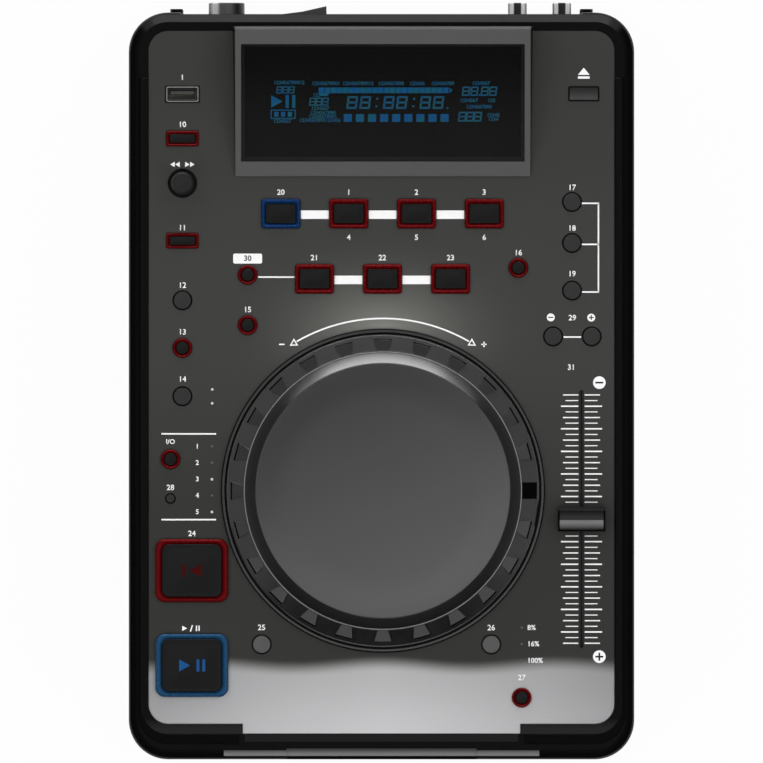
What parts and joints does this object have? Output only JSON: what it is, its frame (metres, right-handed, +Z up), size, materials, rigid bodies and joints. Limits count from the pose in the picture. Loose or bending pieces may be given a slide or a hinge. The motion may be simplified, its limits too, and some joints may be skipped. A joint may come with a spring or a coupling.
{
  "type": "tabletop dj cd player",
  "caption": "Tabletop disc player for DJs with a jog wheel, lit keys, pitch fader, sloping display and a front disc tray.",
  "frame": {"origin": "on the table, under the centre of the footprint, rear sockets included", "axes": "+X to the right, +Y towards the rear, +Z up; the front with the tray faces -Y"},
  "size_m": [0.224, 0.3358, 0.1044],
  "materials": {
    "cabinet": "polished black moulded plastic",
    "chassis_steel": "black powder-coated sheet steel",
    "foot_rubber": "matt black rubber",
    "screw_steel": "black zinc screws",
    "deck_metal": "fine satin gunmetal sheet",
    "board": "green solder mask",
    "switch_plastic": "black switch bodies",
    "knob_plastic": "soft black plastic",
    "socket_plastic": "black socket plastic",
    "collar_plastic": "satin black plastic",
    "bearing_steel": "turned steel",
    "jog_rim": "satin black rim",
    "jog_metal": "dark anodised turned metal",
    "fader_case": "pressed steel",
    "fader_cap": "black cap",
    "display_hood": "grey satin plastic",
    "display_glass": "smoked window",
    "display_panel": "dark display glass",
    "gear_plastic": "natural acetal",
    "tray_plastic": "fine-grained black plastic",
    "loader_plastic": "black glass-filled plastic",
    "traverse_steel": "zinc-plated steel",
    "motor_steel": "plated steel cans",
    "turntable_plastic": "black plastic with a rubber face",
    "pickup_metal": "die-cast alloy sled",
    "clamp_plastic": "white plastic puck",
    "socket_metal": "bright plated shells",
    "rocker_plastic": "black rocker",
    "red_light": "dark red translucent plastic",
    "blue_light": "dark blue translucent plastic",
    "key_cap": "black satin key plastic"
  },
  "bodies": {
    "cabinet": {"body_shell": "cabinet", "base_pan": "chassis_steel", "feet": "foot_rubber", "case_screws": "screw_steel", "deck_plate": "deck_metal", "circuit_boards": "board", "panel_switches": "switch_plastic", "usb_socket": "socket_plastic", "jog_collar": "collar_plastic", "jog_bearing": "bearing_steel", "fader_body": "fader_case", "display_housing": "display_hood", "display_window": "display_glass", "display_module": "display_panel", "loader_frame": "loader_plastic", "traverse_unit": "traverse_steel", "drive_motors": "motor_steel", "rear_sockets": "socket_metal", "switch_housing": "socket_plastic", "red_light_rings": "red_light", "blue_light_rings": "blue_light"},
    "play_key": {"play_key": "key_cap"},
    "cue_key": {"cue_key": "key_cap"},
    "memory_key": {"memory_key": "key_cap"},
    "hot_cue_1_key": {"hot_cue_1_key": "key_cap"},
    "hot_cue_2_key": {"hot_cue_2_key": "key_cap"},
    "hot_cue_3_key": {"hot_cue_3_key": "key_cap"},
    "loop_in_key": {"loop_in_key": "key_cap"},
    "loop_out_key": {"loop_out_key": "key_cap"},
    "reloop_key": {"reloop_key": "key_cap"},
    "folder_key": {"folder_key": "key_cap"},
    "source_key": {"source_key": "key_cap"},
    "relay_key": {"relay_key": "key_cap"},
    "effect_key": {"effect_key": "key_cap"},
    "memo_key": {"memo_key": "key_cap"},
    "brake_key": {"brake_key": "key_cap"},
    "reverse_key": {"reverse_key": "key_cap"},
    "master_tempo_key": {"master_tempo_key": "key_cap"},
    "program_key": {"program_key": "key_cap"},
    "jog_mode_key": {"jog_mode_key": "key_cap"},
    "title_key": {"title_key": "key_cap"},
    "time_key": {"time_key": "key_cap"},
    "single_key": {"single_key": "key_cap"},
    "bend_minus_key": {"bend_minus_key": "key_cap"},
    "bend_plus_key": {"bend_plus_key": "key_cap"},
    "tap_key": {"tap_key": "key_cap"},
    "range_key": {"range_key": "key_cap"},
    "eject_key": {"eject_key": "key_cap"},
    "effect_select_key": {"effect_select_key": "key_cap"},
    "jog_ring": {"jog_ring": "jog_rim"},
    "jog_plate": {"jog_plate": "jog_metal"},
    "track_knob": {"track_knob": "knob_plastic"},
    "fader_slider": {"fader_slider": "fader_cap"},
    "drive_gear": {"drive_gear": "gear_plastic"},
    "tray": {"tray": "tray_plastic", "tray_door": "cabinet"},
    "turntable": {"turntable": "turntable_plastic"},
    "pickup": {"pickup": "pickup_metal"},
    "disc_clamp": {"disc_clamp": "clamp_plastic"},
    "power_rocker": {"power_rocker": "rocker_plastic"}
  },
  "joints": [
    {"name": "play_key_press", "type": "slide", "parent": "cabinet", "child": "play_key", "axis": [0, 0, 1], "range_m": [-0.001, 0], "stiffness_N_per_m": 300, "springref_m": 0.002},
    {"name": "cue_key_press", "type": "slide", "parent": "cabinet", "child": "cue_key", "axis": [0, 0, 1], "range_m": [-0.001, 0], "stiffness_N_per_m": 300, "springref_m": 0.002},
    {"name": "memory_key_press", "type": "slide", "parent": "cabinet", "child": "memory_key", "axis": [0, 0, 1], "range_m": [-0.001, 0], "stiffness_N_per_m": 300, "springref_m": 0.002},
    {"name": "hot_cue_1_key_press", "type": "slide", "parent": "cabinet", "child": "hot_cue_1_key", "axis": [0, 0, 1], "range_m": [-0.001, 0], "stiffness_N_per_m": 300, "springref_m": 0.002},
    {"name": "hot_cue_2_key_press", "type": "slide", "parent": "cabinet", "child": "hot_cue_2_key", "axis": [0, 0, 1], "range_m": [-0.001, 0], "stiffness_N_per_m": 300, "springref_m": 0.002},
    {"name": "hot_cue_3_key_press", "type": "slide", "parent": "cabinet", "child": "hot_cue_3_key", "axis": [0, 0, 1], "range_m": [-0.001, 0], "stiffness_N_per_m": 300, "springref_m": 0.002},
    {"name": "loop_in_key_press", "type": "slide", "parent": "cabinet", "child": "loop_in_key", "axis": [0, 0, 1], "range_m": [-0.001, 0], "stiffness_N_per_m": 300, "springref_m": 0.002},
    {"name": "loop_out_key_press", "type": "slide", "parent": "cabinet", "child": "loop_out_key", "axis": [0, 0, 1], "range_m": [-0.001, 0], "stiffness_N_per_m": 300, "springref_m": 0.002},
    {"name": "reloop_key_press", "type": "slide", "parent": "cabinet", "child": "reloop_key", "axis": [0, 0, 1], "range_m": [-0.001, 0], "stiffness_N_per_m": 300, "springref_m": 0.002},
    {"name": "folder_key_press", "type": "slide", "parent": "cabinet", "child": "folder_key", "axis": [0, 0, 1], "range_m": [-0.001, 0], "stiffness_N_per_m": 300, "springref_m": 0.002},
    {"name": "source_key_press", "type": "slide", "parent": "cabinet", "child": "source_key", "axis": [0, 0, 1], "range_m": [-0.001, 0], "stiffness_N_per_m": 300, "springref_m": 0.002},
    {"name": "relay_key_press", "type": "slide", "parent": "cabinet", "child": "relay_key", "axis": [0, 0, 1], "range_m": [-0.001, 0], "stiffness_N_per_m": 300, "springref_m": 0.002},
    {"name": "effect_key_press", "type": "slide", "parent": "cabinet", "child": "effect_key", "axis": [0, 0, 1], "range_m": [-0.001, 0], "stiffness_N_per_m": 300, "springref_m": 0.002},
    {"name": "memo_key_press", "type": "slide", "parent": "cabinet", "child": "memo_key", "axis": [0, 0, 1], "range_m": [-0.001, 0], "stiffness_N_per_m": 300, "springref_m": 0.002},
    {"name": "brake_key_press", "type": "slide", "parent": "cabinet", "child": "brake_key", "axis": [0, 0, 1], "range_m": [-0.001, 0], "stiffness_N_per_m": 300, "springref_m": 0.002},
    {"name": "reverse_key_press", "type": "slide", "parent": "cabinet", "child": "reverse_key", "axis": [0, 0, 1], "range_m": [-0.001, 0], "stiffness_N_per_m": 300, "springref_m": 0.002},
    {"name": "master_tempo_key_press", "type": "slide", "parent": "cabinet", "child": "master_tempo_key", "axis": [0, 0, 1], "range_m": [-0.001, 0], "stiffness_N_per_m": 300, "springref_m": 0.002},
    {"name": "program_key_press", "type": "slide", "parent": "cabinet", "child": "program_key", "axis": [0, 0, 1], "range_m": [-0.001, 0], "stiffness_N_per_m": 300, "springref_m": 0.002},
    {"name": "jog_mode_key_press", "type": "slide", "parent": "cabinet", "child": "jog_mode_key", "axis": [0, 0, 1], "range_m": [-0.001, 0], "stiffness_N_per_m": 300, "springref_m": 0.002},
    {"name": "title_key_press", "type": "slide", "parent": "cabinet", "child": "title_key", "axis": [0, 0, 1], "range_m": [-0.001, 0], "stiffness_N_per_m": 300, "springref_m": 0.002},
    {"name": "time_key_press", "type": "slide", "parent": "cabinet", "child": "time_key", "axis": [0, 0, 1], "range_m": [-0.001, 0], "stiffness_N_per_m": 300, "springref_m": 0.002},
    {"name": "single_key_press", "type": "slide", "parent": "cabinet", "child": "single_key", "axis": [0, 0, 1], "range_m": [-0.001, 0], "stiffness_N_per_m": 300, "springref_m": 0.002},
    {"name": "bend_minus_key_press", "type": "slide", "parent": "cabinet", "child": "bend_minus_key", "axis": [0, 0, 1], "range_m": [-0.001, 0], "stiffness_N_per_m": 300, "springref_m": 0.002},
    {"name": "bend_plus_key_press", "type": "slide", "parent": "cabinet", "child": "bend_plus_key", "axis": [0, 0, 1], "range_m": [-0.001, 0], "stiffness_N_per_m": 300, "springref_m": 0.002},
    {"name": "tap_key_press", "type": "slide", "parent": "cabinet", "child": "tap_key", "axis": [0, 0, 1], "range_m": [-0.001, 0], "stiffness_N_per_m": 300, "springref_m": 0.002},
    {"name": "range_key_press", "type": "slide", "parent": "cabinet", "child": "range_key", "axis": [0, 0, 1], "range_m": [-0.001, 0], "stiffness_N_per_m": 300, "springref_m": 0.002},
    {"name": "eject_key_press", "type": "slide", "parent": "cabinet", "child": "eject_key", "axis": [0, 0, 1], "range_m": [-0.001, 0], "stiffness_N_per_m": 300, "springref_m": 0.002},
    {"name": "effect_select_key_press", "type": "slide", "parent": "cabinet", "child": "effect_select_key", "axis": [0, 0, 1], "range_m": [-0.001, 0], "stiffness_N_per_m": 300, "springref_m": 0.002},
    {"name": "jog_spin", "type": "hinge", "parent": "cabinet", "child": "jog_ring", "pos_m": [0.0006, -0.04875, 0.0863], "axis": [0, 0, 1], "continuous": true},
    {"name": "jog_touch", "type": "slide", "parent": "jog_ring", "child": "jog_plate", "axis": [0, 0, 1], "range_m": [-0.0005, 0], "stiffness_N_per_m": 3000, "springref_m": 0.001},
    {"name": "track_turn", "type": "hinge", "parent": "cabinet", "child": "track_knob", "pos_m": [-0.0882, 0.08745, 0.085], "axis": [0, 0, 1], "continuous": true},
    {"name": "pitch_slide", "type": "slide", "parent": "cabinet", "child": "fader_slider", "axis": [0, 1, 0], "range_m": [-0.05, 0.05]},
    {"name": "tray_slide", "type": "slide", "parent": "cabinet", "child": "tray", "axis": [0, -1, 0], "range_m": [0, 0.13]},
    {"name": "gear_turn", "type": "hinge", "parent": "cabinet", "child": "drive_gear", "pos_m": [-0.0415, -0.14385, 0.03], "axis": [0, 0, 1], "range_deg": [0, 560]},
    {"name": "disc_spin", "type": "hinge", "parent": "cabinet", "child": "turntable", "pos_m": [0, -0.08985, 0.03], "axis": [0, 0, 1], "continuous": true},
    {"name": "clamp_spin", "type": "hinge", "parent": "cabinet", "child": "disc_clamp", "pos_m": [0, -0.08985, 0.045], "axis": [0, 0, 1], "continuous": true},
    {"name": "pickup_slide", "type": "slide", "parent": "cabinet", "child": "pickup", "axis": [0, 1, 0], "range_m": [0, 0.034]},
    {"name": "power_tilt", "type": "hinge", "parent": "cabinet", "child": "power_rocker", "pos_m": [-0.034, 0.15815, 0.046], "axis": [0, 0, -1], "range_deg": [0, 20.2]}
  ],
  "couplings": [
    {"joint": "gear_turn", "follows": "tray_slide", "rad_per_m": 74.074}
  ]
}
